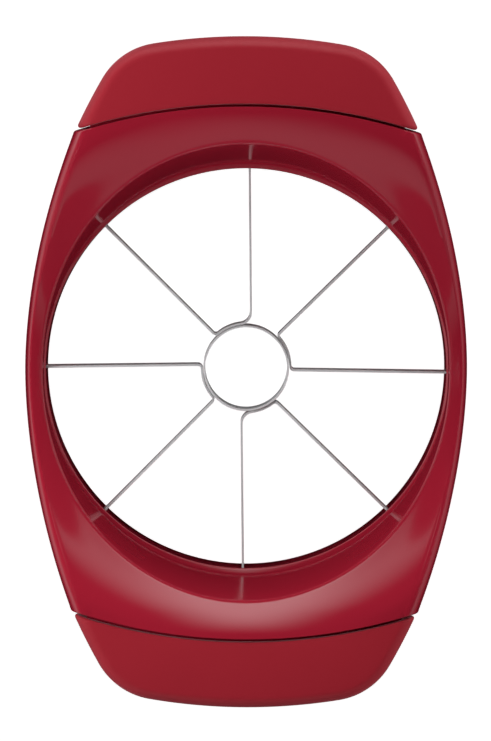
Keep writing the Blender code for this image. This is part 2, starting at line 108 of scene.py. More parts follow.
wall_shares = (0.3, 0.6, 0.85)
even_shares = (0.25, 0.5, 0.75, 1.0)
skirt_shares = (0.2, 0.4, 0.6, 0.8, 1.0)
inner_edge_share = 0.4
cut_overrun = 2.0 * MM

# Grips
grip_wall = 2.6 * MM
grip_power = 2.4
grip_seam_edge = 0.35 * MM
grip_plan_corner = 0.6 * MM
under_edge_share = 1.25

# Steel
strip_thickness = 0.55 * MM
weld_gap = 0.1 * MM
core_wall = 0.5 * MM
blade_low = 2.0 * MM
ring_height = 16.0 * MM
blade_top = 13.6 * MM
grind_height = 1.6 * MM
tight_bend = 1.0 * MM
wide_bend = 3.0 * MM
strip_round = 0.08 * MM
core_round = 0.1 * MM
edge_half = 0.02 * MM
near_share = 0.24
leg_drifts = {
    "north": (1.16, 0.6), "northeast": (-0.23, -0.05),
    "east": (0.5, 0.8), "southeast": (0.62, -0.1),
    "south": (1.1, 0.5), "southwest": (-0.13, -0.48),
    "west": (0.7, 0.0), "northwest": (0.27, 0.0),
}
strips = (
    ("blade_strip_east", 45.0, "northeast", "east", tight_bend),
    ("blade_strip_south", -45.0, "southeast", "south", wide_bend),
    ("blade_strip_west", -135.0, "southwest", "west", tight_bend),
    ("blade_strip_north", 135.0, "northwest", "north", wide_bend),
)
strip_turn = 45.0

# Screws
pad_height = 23.6 * MM
pad_radius = 4.1 * MM
head_radius = 2.8 * MM
head_seat = 25.4 * MM
pad_depth = 6.0 * MM
pad_round = 0.4 * MM
recess_depth = 4.1 * MM

# Studio
floor_size = 24.0
softboxes = (
    ("left_softbox", (-0.51, 0.0, 0.18), 0.3, 1.2),
    ("right_softbox", (0.51, 0.0, 0.16), 0.3, 2.3),
    ("back_softbox", (0.0, 0.52, 0.2), 0.3, 1.7),
    ("front_softbox", (-0.15, -0.5, 0.2), 0.3, 0.9),
    ("key_softbox", (-0.18, 0.0, 0.22), 0.12, 0.48),
)
softbox_target = (0.0, 0.0, 0.02)
room_level = 0.45
room_front = (-0.85, 0.0)
room_lowering = 0.6
room_overhead = (0.15, 0.85)
room_below = (-0.15, -0.6)
screen_level = 3.4
screen_half_width = 0.66
screen_height = 0.54
screen_power = 0.82
screen_edge = (0.6, 1.5)
screen_back = (0.3, 0.0)
screen_below = (-0.3, -0.65)
left_floor_level = 0.6
left_floor_reach = (-0.85, -0.5)
left_floor_rise = (-0.35, -0.1)
right_floor_level = 0.25
right_floor_reach = (0.85, 0.5)
right_floor_rise = (-0.35, 0.0)

# Steps and limits of the modelling
wall_steps = 12
top_steps = 14
bend_steps = 12
swell_steps = 5
corner_steps = 4
skirt_steps = 15
grip_steps = 14
grip_side_steps = 12
grip_corner_steps = 16
grip_end_steps = 20
wrap_steps = 20
spin_steps = 160
halvings = 40
merge_distance = 0.001 * MM
smooth_angle = 35.0
strip_smooth_angle = 20.0

# Shades of a colour that a surface varies between, and how far its roughness rises
moulded_shades = (0.95, 1.05)
steel_shades = (0.85, 1.1)
steel_gloss_spread = 0.16


# Modelling helpers
def mix(first, last, share):
    return first + (last - first) * share


def ease(share):
    share = min(max(share, 0.0), 1.0)
    return share * share * (3.0 - 2.0 * share)


def deselect():
    if bpy.context.mode != "OBJECT":
        bpy.ops.object.mode_set(mode="OBJECT")
    bpy.ops.object.select_all(action="DESELECT")


def make_active(piece):
    deselect()
    piece.select_set(True)
    bpy.context.view_layer.objects.active = piece


def edit_shape(piece):
    shape = bmesh.from_edit_mesh(piece.data)
    for items in (shape.verts, shape.edges, shape.faces):
        items.ensure_lookup_table()
    return shape


def select_loops(piece, *loops):
    """Selects the edges that join neighbours in each list of vertex numbers."""
    bpy.ops.mesh.select_all(action="DESELECT")
    bpy.ops.mesh.select_mode(type="EDGE")
    shape = edit_shape(piece)
    for loop in loops:
        for first, last in zip(loop, loop[1:]):
            for edge in shape.verts[first].link_edges:
                if edge.other_vert(shape.verts[first]) == shape.verts[last]:
                    edge.select_set(True)
    shape.select_flush_mode()
    bmesh.update_edit_mesh(piece.data)


def draw_outlines(name, outlines, closed=False):
    """Models a piece in edit mode from a circle, extruded from each outline to the next.

    Returns the piece, still in edit mode, and the vertex numbers of its first and last outlines.
    """
    deselect()
    bpy.ops.mesh.primitive_circle_add(vertices=len(outlines[0]), radius=MM)
    piece = bpy.context.object
    piece.name = piece.data.name = name
    bpy.ops.object.mode_set(mode="EDIT")
    bpy.ops.mesh.select_mode(type="EDGE")
    bpy.ops.mesh.select_all(action="SELECT")
    shape = edit_shape(piece)
    first = list(range(len(outlines[0])))
    loop = first
    for number, spot in zip(loop, outlines[0]):
        shape.verts[number].co = spot
    for outline in outlines[1:]:
        count = len(shape.verts)
        bpy.ops.mesh.extrude_edges_indiv()
        shape = edit_shape(piece)
        above = {}
        for vertex in shape.verts[count:]:
            for edge in vertex.link_edges:
                other = edge.other_vert(vertex)
                if other.index < count:
                    above[other.index] = vertex.index
        loop = [above[number] for number in loop]
        for number, spot in zip(loop, outline):
            shape.verts[number].co = spot
    bmesh.update_edit_mesh(piece.data)
    if closed:
        select_loops(piece, first + first[:1], loop + loop[:1])
        bpy.ops.mesh.bridge_edge_loops()
    return piece, first, loop


def fill_ends(piece, *loops):
    for loop in loops:
        select_loops(piece, loop + loop[:1])
        bpy.ops.mesh.edge_face_add()


def end_modelling(piece, angle=smooth_angle):
    """Leaves edit mode with the doubles merged, the faces outwards and the smooth parts smooth."""
    if bpy.context.mode != "EDIT_MESH":
        make_active(piece)
        bpy.ops.object.mode_set(mode="EDIT")
    bpy.ops.mesh.select_all(action="SELECT")
    bpy.ops.mesh.remove_doubles(threshold=merge_distance)
    bpy.ops.mesh.select_all(action="SELECT")
    bpy.ops.mesh.normals_make_consistent(inside=False)
    bpy.ops.object.mode_set(mode="OBJECT")
    make_active(piece)
    bpy.ops.object.transform_apply(location=True, rotation=True, scale=True)
    bpy.ops.object.shade_smooth_by_angle(angle=math.radians(angle))


def combine(piece, cutter, operation):
    """Applies a Boolean with a finished cutter, which is then removed."""
    make_active(piece)
    modifier = piece.modifiers.new(operation.lower(), "BOOLEAN")
    modifier.object = cutter
    modifier.operation = operation
    modifier.solver = "EXACT"
    bpy.ops.object.modifier_apply(modifier=modifier.name)
    bpy.data.objects.remove(cutter)


def hand_over(piece, slot, material, *nodes):
    """The finished piece rides on the tool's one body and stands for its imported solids."""
    piece.data.materials.clear()
    piece.data.materials.append(material)
    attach(piece, "root")
    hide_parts(*nodes)


def circle_meet(first_centre, first_radius, second_centre, second_radius):
    """The crossing of two circles that lies furthest towards +X."""
    across = second_centre - first_centre
    span = across.length
    along = (first_radius ** 2 - second_radius ** 2 + span ** 2) / (2.0 * span)
    height = math.sqrt(first_radius ** 2 - along ** 2)
    foot = first_centre + across * (along / span)
    offset = Vector((-across.y, across.x)) * (height / span)
    return max(foot + offset, foot - offset, key=lambda spot: spot.x)


def arc_points(centre, start, end, steps):
    """Points of the short arc round centre from start to end, both ends included."""
    first = start - centre
    sweep = first.angle_signed(end - centre)
    points = []
    for step in range(steps + 1):
        turned = first.copy()
        turned.rotate(Matrix.Rotation(-sweep * step / steps, 2))
        points.append(centre + turned)
    return points


def quarter_shares(steps):
    """Pairs of rise and inset shares down a quarter of an ellipse, from its foot to its top."""
    turns = [math.radians(90.0) * step / steps for step in range(steps + 1)]
    return [(math.sin(turn), 1.0 - math.cos(turn)) for turn in turns]


def lift(outline, heights):
    return [Vector((*spot, height)) for spot, height in zip(outline, heights)]


def round_off(starts, corners, ends, share):
    """Points at a share of the curves that lead from starts to ends past the corners."""
    return [start.lerp(corner, share).lerp(corner.lerp(end, share), share)
            for start, corner, end in zip(starts, corners, ends)]


class BodyForm:
    """Where the surfaces of the frame run, worked out from the sizes in the panel."""

    def __init__(self, sizes):
        for name in FrameSizes.__annotations__:
            setattr(self, name, getattr(sizes, name))
        self.seam_centre = Vector((0.0, self.seam_reach - self.seam_radius))
        self.corner_y = self.find_corner(self.side_half_width, 0.0)

    def side_half_width(self, y):
        return self.half_width - side_drop * (abs(y) / self.seam_reach) ** side_drop_power

    def seam_y(self, x, back):
        return self.seam_centre.y + math.sqrt((self.seam_radius + back) ** 2 - x ** 2)

    def find_corner(self, side, back):
        low, high = 0.0, self.seam_reach
        for _ in range(halvings):
            middle = (low + high) / 2.0
            if middle < self.seam_y(side(middle), back):
                low = middle
            else:
                high = middle
        return low

    def climb(self, y):
        """How far the body has climbed towards its grips, from 0 at the sides to 1."""
        return ease(abs(y) / self.corner_y)

    def outline(self, edge=0.0, share=0.0, inset=0.0, corner=plan_corner):
        """Plan points right round the frame from +X, drawn in by inset and by a share of the edge's round.

        The corners towards the seams are rounded in plan.
        """
        def side(y):
            return self.side_half_width(y) - mix(edge, self.corner_edge, self.climb(y)) * share - inset

        back = -seam_edge * share - inset
        centre_y = self.find_corner(lambda y: side(y) - corner, back - corner)
        centre = Vector((side(centre_y) - corner, centre_y))
        slope = (side(centre_y + slope_step) - side(centre_y - slope_step)) / (2.0 * slope_step)
        start = centre + Vector((1.0, -slope)).normalized() * corner
        end = centre + (centre - self.seam_centre).normalized() * corner
        places = [start.y * step / self.side_steps for step in range(self.side_steps)]
        quarter = [Vector((side(y), y)) for y in places] + arc_points(centre, start, end, corner_steps)
        steps = self.end_steps
        quarter += [Vector((end.x * (1.0 - step / steps), 0.0)) for step in range(1, steps + 1)]
        for spot in quarter[-steps:]:
            spot.y = self.seam_y(spot.x, back)
        half = quarter + [Vector((-spot.x, spot.y)) for spot in reversed(quarter[:-1])]
        return half + [-spot for spot in half[1:-1]]

    def handle_loop(self, inset, back, corner=0.0):
        """The whole closed outline of the rear grip: half round its end from +X, then back along the seam."""
        side_reach = self.side_half_width(self.corner_y) - seam_step
        side_centre = Vector((side_reach - math.sqrt(grip_side_radius ** 2 - self.corner_y ** 2), 0.0))
        end_centre = Vector((0.0, self.grip_reach - grip_end_radius))
        round_centre = circle_meet(side_centre, grip_side_radius - grip_corner_radius,
                                   end_centre, grip_end_radius - grip_corner_radius)
        seam_round = self.seam_radius + back
        corner_centre = circle_meet(side_centre, grip_side_radius - inset - corner,
                                    self.seam_centre, seam_round + corner)
        on_seam = self.seam_centre + (corner_centre - self.seam_centre).normalized() * seam_round
        start = side_centre + (corner_centre - side_centre).normalized() * (grip_side_radius - inset)
        side_end = side_centre + (round_centre - side_centre).normalized() * (grip_side_radius - inset)
        end_start = end_centre + (round_centre - end_centre).normalized() * (grip_end_radius - inset)
        tip = Vector((0.0, self.grip_reach - inset))
        points = arc_points(corner_centre, on_seam, start, corner_steps) if corner else [start]
        points += arc_points(side_centre, start, side_end, grip_side_steps)[1:]
        points += arc_points(round_centre, side_end, end_start, grip_corner_steps)[1:]
        points += arc_points(end_centre, end_start, tip, grip_end_steps)[1:]
        outer = points + [Vector((-spot.x, spot.y)) for spot in reversed(points[:-1])]
        seam = arc_points(self.seam_centre, outer[-1], outer[0], len(outer) - 1)
        return outer + seam[1:-1]

    @staticmethod
    def toward_end(spot):
        """0 where a point lies square to the grips from the axis, 1 where it is in line with them."""
        return (spot.y / spot.length) ** 2

    def crease_point(self, spot):
        plan = spot.normalized() * mix(self.crease_side, self.crease_end, self.toward_end(spot))
        rise = mix(self.crease_rise_side, self.crease_rise_end, self.toward_end(spot) ** crease_power)
        return Vector((*plan, ring_height + rise))

    def top_height(self, spot):
        """Height of the top over a plan point: level by the rim, and falling away to the crease."""
        heading = spot.normalized()
        crease = self.crease_point(spot)
        half_length = self.seam_reach - seam_edge
        half_width = self.half_width - self.side_edge
        squared = (abs(heading.x) / half_width) ** rim_power + (abs(heading.y) / half_length) ** rim_power
        rim_reach = squared ** (-1.0 / rim_power)
        share = (spot.length - crease.xy.length) / (rim_reach - crease.xy.length)
        fall = (1.0 - min(max(share, 0.0), 1.0)) ** top_power
        return mix(mix(self.rim_side, self.rim_end, self.climb(spot.y)), crease.z, fall)

    def below_top(self, spot, depth):
        """Height of the surface that lies depth inside the top, over a plan point."""
        step = spot.normalized() * slope_step
        slope = (self.top_height(spot + step) - self.top_height(spot)) / slope_step
        return self.top_height(spot) - depth * math.hypot(1.0, slope)

    def ring_round(self, outline, side, end, height):
        """A level ring on the outline's spokes, its radius side at the sides and end at the ends."""
        reaches = [mix(side, end, self.toward_end(spot)) for spot in outline]
        return [Vector((*(spot.normalized() * reach), height)) for spot, reach in zip(outline, reaches)]

    def upper_outlines(self):
        """The upper shell's section: up its outside, over its top, down the throat, back inside."""
        outline = self.outline()
        lows = [mix(parting_side, parting_end, self.climb(spot.y)) + seat_gap / 2.0 for spot in outline]
        loops = [lift(self.outline(inset=parting_chamfer), lows)]
        rim = self.outline(self.side_edge, 1.0)
        highs = [self.top_height(spot) for spot in rim]
        for rise, inset in quarter_shares(wall_steps):
            plan = self.outline(self.side_edge, inset)
            heights = [mix(low + parting_chamfer, high, rise) for low, high in zip(lows, highs)]
            loops.append(lift(plan, heights))
        crease = [self.crease_point(spot) for spot in outline]
        base = ring_height + seat_gap
        foot = self.ring_round(outline, base_side, base_end, base)
        near = [spot.xy + (out - spot.xy).normalized() * crease_round for spot, out in zip(crease, rim)]
        for step in range(1, top_steps + 1):
            share = (step / top_steps) ** top_spacing
            plan = [out.lerp(start, share) for start, out in zip(near, rim)]
            loops.append(lift(plan, [self.top_height(spot) for spot in plan]))
        start = loops[-1]
        below = [spot + (low - spot).normalized() * crease_round for spot, low in zip(crease, foot)]
        for share in crease_shares:
            loops.append(round_off(start, crease, below, share))
        for share in wall_shares:
            loops.append([a.lerp(b, share) for a, b in zip(below, foot)])
        for out, up in ((0.0, base_round), (base_round, 0.0)):
            loops.append([spot + Vector((*spot.xy.normalized() * out, up)) for spot in foot])
        loops.append(self.ring_round(outline, base_side + shell_wall, base_end + shell_wall, base))
        inner_start = []
        for spot in crease:
            reach = spot.xy.length + shell_wall
            plan = spot.xy.normalized() * reach
            inner_start.append(Vector((*plan, self.below_top(plan, shell_wall))))
        loops.append(inner_start)
        inner_rim = self.outline(self.side_edge, inner_edge_share, shell_wall)
        for share in even_shares:
            plan = [a.xy.lerp(b, share) for a, b in zip(inner_start, inner_rim)]
            loops.append(lift(plan, [self.below_top(spot, shell_wall) for spot in plan]))
        loops.append(lift(self.outline(inset=shell_wall), lows))
        return loops

    def lower_outlines(self):
        """The lower shell's section: down its outside, under its foot, up the throat, back inside."""
        outline = self.outline()
        highs = [mix(parting_side, parting_end, self.climb(spot.y)) - seat_gap / 2.0 for spot in outline]
        unders = [mix(under_side, under_end, self.climb(spot.y)) for spot in outline]
        loops = [lift(self.outline(inset=parting_chamfer), highs)]
        for rise, inset in quarter_shares(wall_steps):
            heights = [mix(high - parting_chamfer, under, rise) for high, under in zip(highs, unders)]
            loops.append(lift(self.outline(under_edge, inset), heights))
        edge = [spot.xy for spot in loops[-1]]
        foot = [spot.xy for spot in self.ring_round(outline, foot_side, foot_end, 0.0)]
        for step in range(1, skirt_steps + 1):
            share = 1.0 - step / skirt_steps
            plan = [a.lerp(b, share ** 2) for a, b in zip(foot, edge)]
            rise = 1.0 - (1.0 - share) ** 3
            loops.append(lift(plan, [max(under * rise, foot_chamfer) for under in unders]))
        for rise, inset in quarter_shares(corner_steps)[1:]:
            reach = foot_chamfer * inset
            height = foot_chamfer * (1.0 - rise)
            loops.append(self.ring_round(outline, foot_side - reach, foot_end - reach, height))
        for rise, inset in reversed(quarter_shares(corner_steps)):
            radius = self.throat_radius + foot_chamfer * inset
            loops.append(self.ring_round(outline, radius, radius, foot_chamfer * (1.0 - rise)))
        lip_reach = self.throat_radius + throat_draft
        lip = self.ring_round(outline, lip_reach, lip_reach, ring_height - ledge_drop)
        wall = [spot - Vector((*spot.xy.normalized() * throat_draft * ledge_round / ring_height, ledge_round))
                for spot in lip]
        back = self.ring_round(outline, base_side, base_end, ring_height)
        slope = []
        for low, high in zip(lip, back):
            slope.append(low + (high - low) * min(ledge_round / (high - low).length, longest_round_share))
        for share in even_shares[:-1]:
            height = mix(foot_chamfer, ring_height - ledge_drop - ledge_round, share)
            radius = mix(self.throat_radius, wall[0].xy.length, share)
            loops.append(self.ring_round(outline, radius, radius, height))
        for share in (0.0, *even_shares):
            loops.append(round_off(wall, lip, slope, share))
        for share in (0.5, 1.0):
            loops.append([low.lerp(high, share) for low, high in zip(slope, back)])
        loops.append(self.ring_round(outline, base_side + shell_wall, base_end + shell_wall, ring_height))
        inner_throat = self.throat_radius + shell_wall
        loops.append(self.ring_round(outline, inner_throat, inner_throat, foot_wall))
        inner_foot = self.ring_round(outline, foot_side - shell_wall, foot_end - shell_wall, foot_wall)
        inner_wall = self.outline(inset=shell_wall)
        loops.append(inner_foot)
        for share in skirt_shares:
            plan = [a.xy.lerp(b, share ** 2) for a, b in zip(inner_foot, inner_wall)]
            rise = 1.0 - (1.0 - share) ** 3
            heights = [foot_wall + (under + shell_wall - foot_wall) * rise for under in unders]
            loops.append(lift(plan, heights))
        loops.append(lift(inner_wall, highs))
        return loops


# Materials
def new_node(tree, kind, place, **values):
    """A node at a place in its tree, with the given inputs set by name."""
    node = tree.nodes.new(kind)
    node.location = place
    for name, value in values.items():
        node.inputs[name.replace("_", " ")].default_value = value
    return node


def feed(tree, node, *sources):
    """Links the sources to a node's first inputs, in order."""
    for socket, source in zip(node.inputs, sources):
        tree.links.new(source, socket)


def new_group(name, inputs, outputs):
    tree = bpy.data.node_groups.new(name, "ShaderNodeTree")
    for socket, kind, value in inputs:
        made = tree.interface.new_socket(socket, in_out="INPUT", socket_type=f"NodeSocket{kind}")
        if value is not None:
            made.default_value = value
    for socket, kind in outputs:
        tree.interface.new_socket(socket, in_out="OUTPUT", socket_type=f"NodeSocket{kind}")
    entry = tree.nodes.new("NodeGroupInput")
    leave = tree.nodes.new("NodeGroupOutput")
    return tree, entry, leave


def moulded_group():
    """Moulded grain: a fine height, and slow and fine masks that vary colour and gloss."""
    found = bpy.data.node_groups.get("moulded_surface")
    if found:
        return found
    tree, entry, leave = new_group(
        "moulded_surface",
        [("Vector", "Vector", None), ("Grain Scale", "Float", 900.0), ("Sway Scale", "Float", 28.0)],
        [("Height", "Float"), ("Sway", "Float"), ("Marks", "Float")])
    grain = new_node(tree, "ShaderNodeTexNoise", (-400, 200), Detail=3.0, Roughness=0.6)
    sway = new_node(tree, "ShaderNodeTexNoise", (-400, 0), Detail=2.0, Roughness=0.5)
    marks = new_node(tree, "ShaderNodeTexNoise", (-400, -200), Scale=240.0, Detail=6.0, Roughness=0.75)
    for node in (grain, sway, marks):
        feed(tree, node, entry.outputs["Vector"])
    tree.links.new(entry.outputs["Grain Scale"], grain.inputs["Scale"])
    tree.links.new(entry.outputs["Sway Scale"], sway.inputs["Scale"])
    feed(tree, leave, grain.outputs["Fac"], sway.outputs["Fac"], marks.outputs["Fac"])
    return tree


def rolled_group():
    """Rolled steel: fine lines, level along the strips, and a slow cloud that varies their colour."""
    found = bpy.data.node_groups.get("rolled_surface")
    if found:
        return found
    tree, entry, leave = new_group(
        "rolled_surface",
        [("Vector", "Vector", None), ("Line Scale", "Float", 5200.0), ("Cloud Scale", "Float", 160.0)],
        [("Lines", "Float"), ("Cloud", "Float")])
    squeeze = new_node(tree, "ShaderNodeMapping", (-600, 100), Scale=(0.02, 0.02, 1.0))
    lines = new_node(tree, "ShaderNodeTexNoise", (-400, 100), Detail=4.0, Roughness=0.7)
    cloud = new_node(tree, "ShaderNodeTexNoise", (-400, -150), Detail=3.0)
    feed(tree, squeeze, entry.outputs["Vector"])
    feed(tree, lines, squeeze.outputs["Vector"])
    feed(tree, cloud, entry.outputs["Vector"])
    tree.links.new(entry.outputs["Line Scale"], lines.inputs["Scale"])
    tree.links.new(entry.outputs["Cloud Scale"], cloud.inputs["Scale"])
    feed(tree, leave, lines.outputs["Fac"], cloud.outputs["Fac"])
    return tree


def start_material(name):
    material = bpy.data.materials.new(name)
    material.use_nodes = True
    tree = material.node_tree
    shader = tree.nodes["Principled BSDF"]
    return material, tree, shader


def place_group(tree, surface):
    """A material's own node of a surface group, read on the piece's Object coordinates."""
    coordinates = new_node(tree, "ShaderNodeTexCoord", (-1200, 0))
    node = tree.nodes.new("ShaderNodeGroup")
    node.node_tree = surface
    node.location = (-900, 0)
    tree.links.new(coordinates.outputs["Object"], node.inputs["Vector"])
    return node


def blend_colours(tree, place, factor, first, last):
    node = tree.nodes.new("ShaderNodeMix")
    node.data_type = "RGBA"
    node.location = place
    tree.links.new(factor, node.inputs["Factor"])
    node.inputs["A"].default_value = (*first, 1.0)
    node.inputs["B"].default_value = (*last, 1.0)
    return node.outputs["Result"]


def map_value(tree, place, value, low, high, start=0.3, end=0.7, curve="LINEAR"):
    node = new_node(tree, "ShaderNodeMapRange", place, From_Min=start, From_Max=end, To_Min=low, To_Max=high)
    node.interpolation_type = curve
    tree.links.new(value, node.inputs["Value"])
    return node.outputs["Result"]


def shade_of(colour, share):
    return tuple(part * share for part in colour)


def moulded_material(name, colour, roughness, spread, grain_scale, grain_height, sway_height, mirror, sheen):
    """A moulded plastic or rubber, its colour and gloss varied a little by the grain and the flow."""
    material, tree, shader = start_material(name)
    group = place_group(tree, moulded_group())
    group.inputs["Grain Scale"].default_value = grain_scale
    shades = [shade_of(colour, share) for share in moulded_shades]
    tint = blend_colours(tree, (-500, 200), group.outputs["Sway"], *shades)
    tree.links.new(tint, shader.inputs["Base Color"])
    gloss = map_value(tree, (-500, 0), group.outputs["Marks"], roughness, roughness + spread)
    tree.links.new(gloss, shader.inputs["Roughness"])
    fine = new_node(tree, "ShaderNodeBump", (-500, -250), Strength=1.0, Distance=grain_height)
    slow = new_node(tree, "ShaderNodeBump", (-300, -250), Strength=1.0, Distance=sway_height)
    tree.links.new(group.outputs["Height"], fine.inputs["Height"])
    tree.links.new(group.outputs["Sway"], slow.inputs["Height"])
    tree.links.new(fine.outputs["Normal"], slow.inputs["Normal"])
    tree.links.new(slow.outputs["Normal"], shader.inputs["Normal"])
    shader.inputs["Specular IOR Level"].default_value = mirror
    shader.inputs["Sheen Weight"].default_value = sheen
    shader.inputs["Sheen Roughness"].default_value = 0.35
    shader.inputs["Sheen Tint"].default_value = (1.0, 0.55, 0.6, 1.0)
    return material


def steel_material(name, colour, roughness):
    """Steel whose gloss and height follow the rolled lines, and whose colour follows the cloud."""
    material, tree, shader = start_material(name)
    group = place_group(tree, rolled_group())
    shades = [shade_of(colour, share) for share in steel_shades]
    tint = blend_colours(tree, (-500, 200), group.outputs["Cloud"], *shades)
    tree.links.new(tint, shader.inputs["Base Color"])
    gloss = map_value(tree, (-500, 0), group.outputs["Lines"], roughness, roughness + steel_gloss_spread)
    tree.links.new(gloss, shader.inputs["Roughness"])
    bump = new_node(tree, "ShaderNodeBump", (-500, -250), Strength=0.5, Distance=0.01 * MM)
    tree.links.new(group.outputs["Lines"], bump.inputs["Height"])
    tree.links.new(bump.outputs["Normal"], shader.inputs["Normal"])
    shader.inputs["Metallic"].default_value = 0.4
    return material


def gloss_red():
    found = bpy.data.materials.get("gloss_red_shell")
    colours = bpy.context.scene.corer_finish
    return found or moulded_material(
        "gloss_red_shell", colours.shell_colour, colours.shell_roughness, spread=0.04,
        grain_scale=2600.0, grain_height=0.0004 * MM, sway_height=0.02 * MM, mirror=0.5, sheen=0.0)


def soft_red():
    found = bpy.data.materials.get("soft_red_grip")
    colours = bpy.context.scene.corer_finish
    return found or moulded_material(
        "soft_red_grip", colours.grip_colour, colours.grip_roughness, spread=0.1,
        grain_scale=2400.0, grain_height=0.03 * MM, sway_height=0.03 * MM, mirror=0.25, sheen=0.15)


def blade_steel():
    found = bpy.data.materials.get("rolled_blade_steel")
    colour = bpy.context.scene.corer_finish.steel_colour
    return found or steel_material("rolled_blade_steel", colour, roughness=0.26)


def screw_steel():
    found = bpy.data.materials.get("plated_screw_steel")
    return found or steel_material("plated_screw_steel", (0.55, 0.55, 0.56), roughness=0.3)


# Sizes and colours for the panel
def length_property(name, description, default):
    return FloatProperty(name=name, description=description, default=default, unit="LENGTH")


def angle_property(name, description, degrees):
    return FloatProperty(name=name, description=description, default=math.radians(degrees), unit="ROTATION")


def colour_property(name, description, default):
    return FloatVectorProperty(name=name, description=description, default=default, subtype="COLOR")


def gloss_property(name, description, default):
    return FloatProperty(name=name, description=description, default=default, subtype="FACTOR")


class FrameSizes(bpy.types.PropertyGroup):
    throat_radius: length_property("Throat Radius", "Inside of the ring that the fruit passes", 50.0 * MM)
    half_width: length_property("Half Width", "From the throat's axis to a side", cad_box[1].x)
    seam_reach: length_property("Seam Reach", "From the throat's axis to the middle of a seam", 67.1 * MM)
    seam_radius: length_property("Seam Radius", "Bow of the seam between frame and grip", 140.0 * MM)
    grip_reach: length_property("Grip Reach", "From the throat's axis to a grip's end", cad_box[1].y)
    rim_side: length_property("Rim Height at Sides", "Top of the frame beside the throat", 19.8 * MM)
    rim_end: length_property("Rim Height at Grips", "Top of the frame beside the grips", cad_box[1].z)
    crease_side: length_property(
        "Crease Reach at Sides", "From the axis to the crease, beside the throat", 51.3 * MM)
    crease_end: length_property(
        "Crease Reach at Grips", "From the axis to the crease, towards the grips", 57.3 * MM)
    crease_rise_side: length_property(
        "Crease Rise at Sides", "From the blade ring up to the crease, beside the throat", 2.3 * MM)
    crease_rise_end: length_property(
        "Crease Rise at Grips", "From the blade ring up to the crease, towards the grips", 20.5 * MM)
    side_edge: length_property("Side Edge", "How far the wall rounds in at the sides", 1.5 * MM)
    corner_edge: length_property("Corner Edge", "How far the wall rounds in at the corners", 3.0 * MM)
    side_steps: IntProperty(name="Side Steps", description="Points along a quarter's side", default=40, min=8)
    end_steps: IntProperty(name="End Steps", description="Points along half of a seam", default=28, min=8)


class GripSizes(bpy.types.PropertyGroup):
    edge: length_property("Edge", "How far a grip's section rounds in at its top", 3.2 * MM)
    crown: length_property("Crown", "How far a grip's top swells", 0.3 * MM)


class SteelSizes(bpy.types.PropertyGroup):
    bore_radius: length_property("Core Bore Radius", "Inside of the core ring", 10.3 * MM)
    drift: length_property(
        "Leg Drift", "How far the legs stand off their spokes, times each one's share", 1.0 * MM)


class Finishes(bpy.types.PropertyGroup):
    shell_colour: colour_property("Shell Red", "Colour of the glossy shells", (0.245, 0.0088, 0.021))
    shell_roughness: gloss_property("Shell Roughness", "Gloss of the shells, 0 is a mirror", 0.1)
    grip_colour: colour_property("Grip Red", "Colour of the soft grips", (0.262, 0.0125, 0.0215))
    grip_roughness: gloss_property("Grip Roughness", "Gloss of the grips, 0 is a mirror", 0.5)
    steel_colour: colour_property("Steel", "Colour of the blades", (0.78, 0.79, 0.8))


class StageSizes(bpy.types.PropertyGroup):
    camera_distance: length_property("Camera Distance", "From the camera to the tool", 5.0)
    camera_tilt: angle_property("Camera Tilt", "How far the camera leans to the rear grip's side", 2.64)
    camera_roll: angle_property("Camera Roll", "Turn of the camera about its own axis", 0.36)
    view_height: length_property(
        "View Height", "What the picture's long side takes in at the tool", 186.6 * MM)
    aim: FloatVectorProperty(
        name="Aim", description="Point in the middle of the picture",
        default=(-0.15 * MM, -0.5 * MM, 16.0 * MM), subtype="TRANSLATION", unit="LENGTH")


# Operators
class CORER_OT_upper_shell(bpy.types.Operator):
    """Model the upper shell from its parting line over the rim and down to the blade ring"""
    bl_idname = "corer.upper_shell"
    bl_label = "Upper Shell"

    def execute(self, context):
        form = BodyForm(context.scene.corer_frame)
        piece, _, _ = draw_outlines("upper_shell", form.upper_outlines(), closed=True)
        end_modelling(piece)
        add_tongues(piece, form, parting_end + seat_gap, form.rim_end - grip_wall - seat_gap)
        end_modelling(piece)
        hand_over(piece, "gloss_red", gloss_red(), "upper_frame")
        return {"FINISHED"}


class CORER_OT_lower_shell(bpy.types.Operator):
    """Model the lower shell with its foot, throat ring, blade slots and screw pads"""
    bl_idname = "corer.lower_shell"
    bl_label = "Lower Shell"

    def execute(self, context):
        form = BodyForm(context.scene.corer_frame)
        piece, _, _ = draw_outlines("lower_shell", form.lower_outlines(), closed=True)
        end_modelling(piece)
        add_tongues(piece, form, under_end + grip_wall + seat_gap, parting_end - seat_gap)
        cut_slots(piece, form, context.scene.corer_steel)
        add_pads(piece)
        end_modelling(piece)
        hand_over(piece, "gloss_red", gloss_red(), "lower_frame")
        return {"FINISHED"}


def add_tongues(piece, form, low, high):
    """Joins on the two tongues that the grips are sleeved over."""
    outline = form.handle_loop(grip_wall + seat_gap, -shell_wall / 2.0)
    for sign in (1.0, -1.0):
        plan = [spot * sign for spot in outline]
        ends = [lift(plan, [height] * len(plan)) for height in (low, high)]
        tongue, first, last = draw_outlines("tongue", ends)
        fill_ends(tongue, first, last)
        end_modelling(tongue)
        combine(piece, tongue, "UNION")


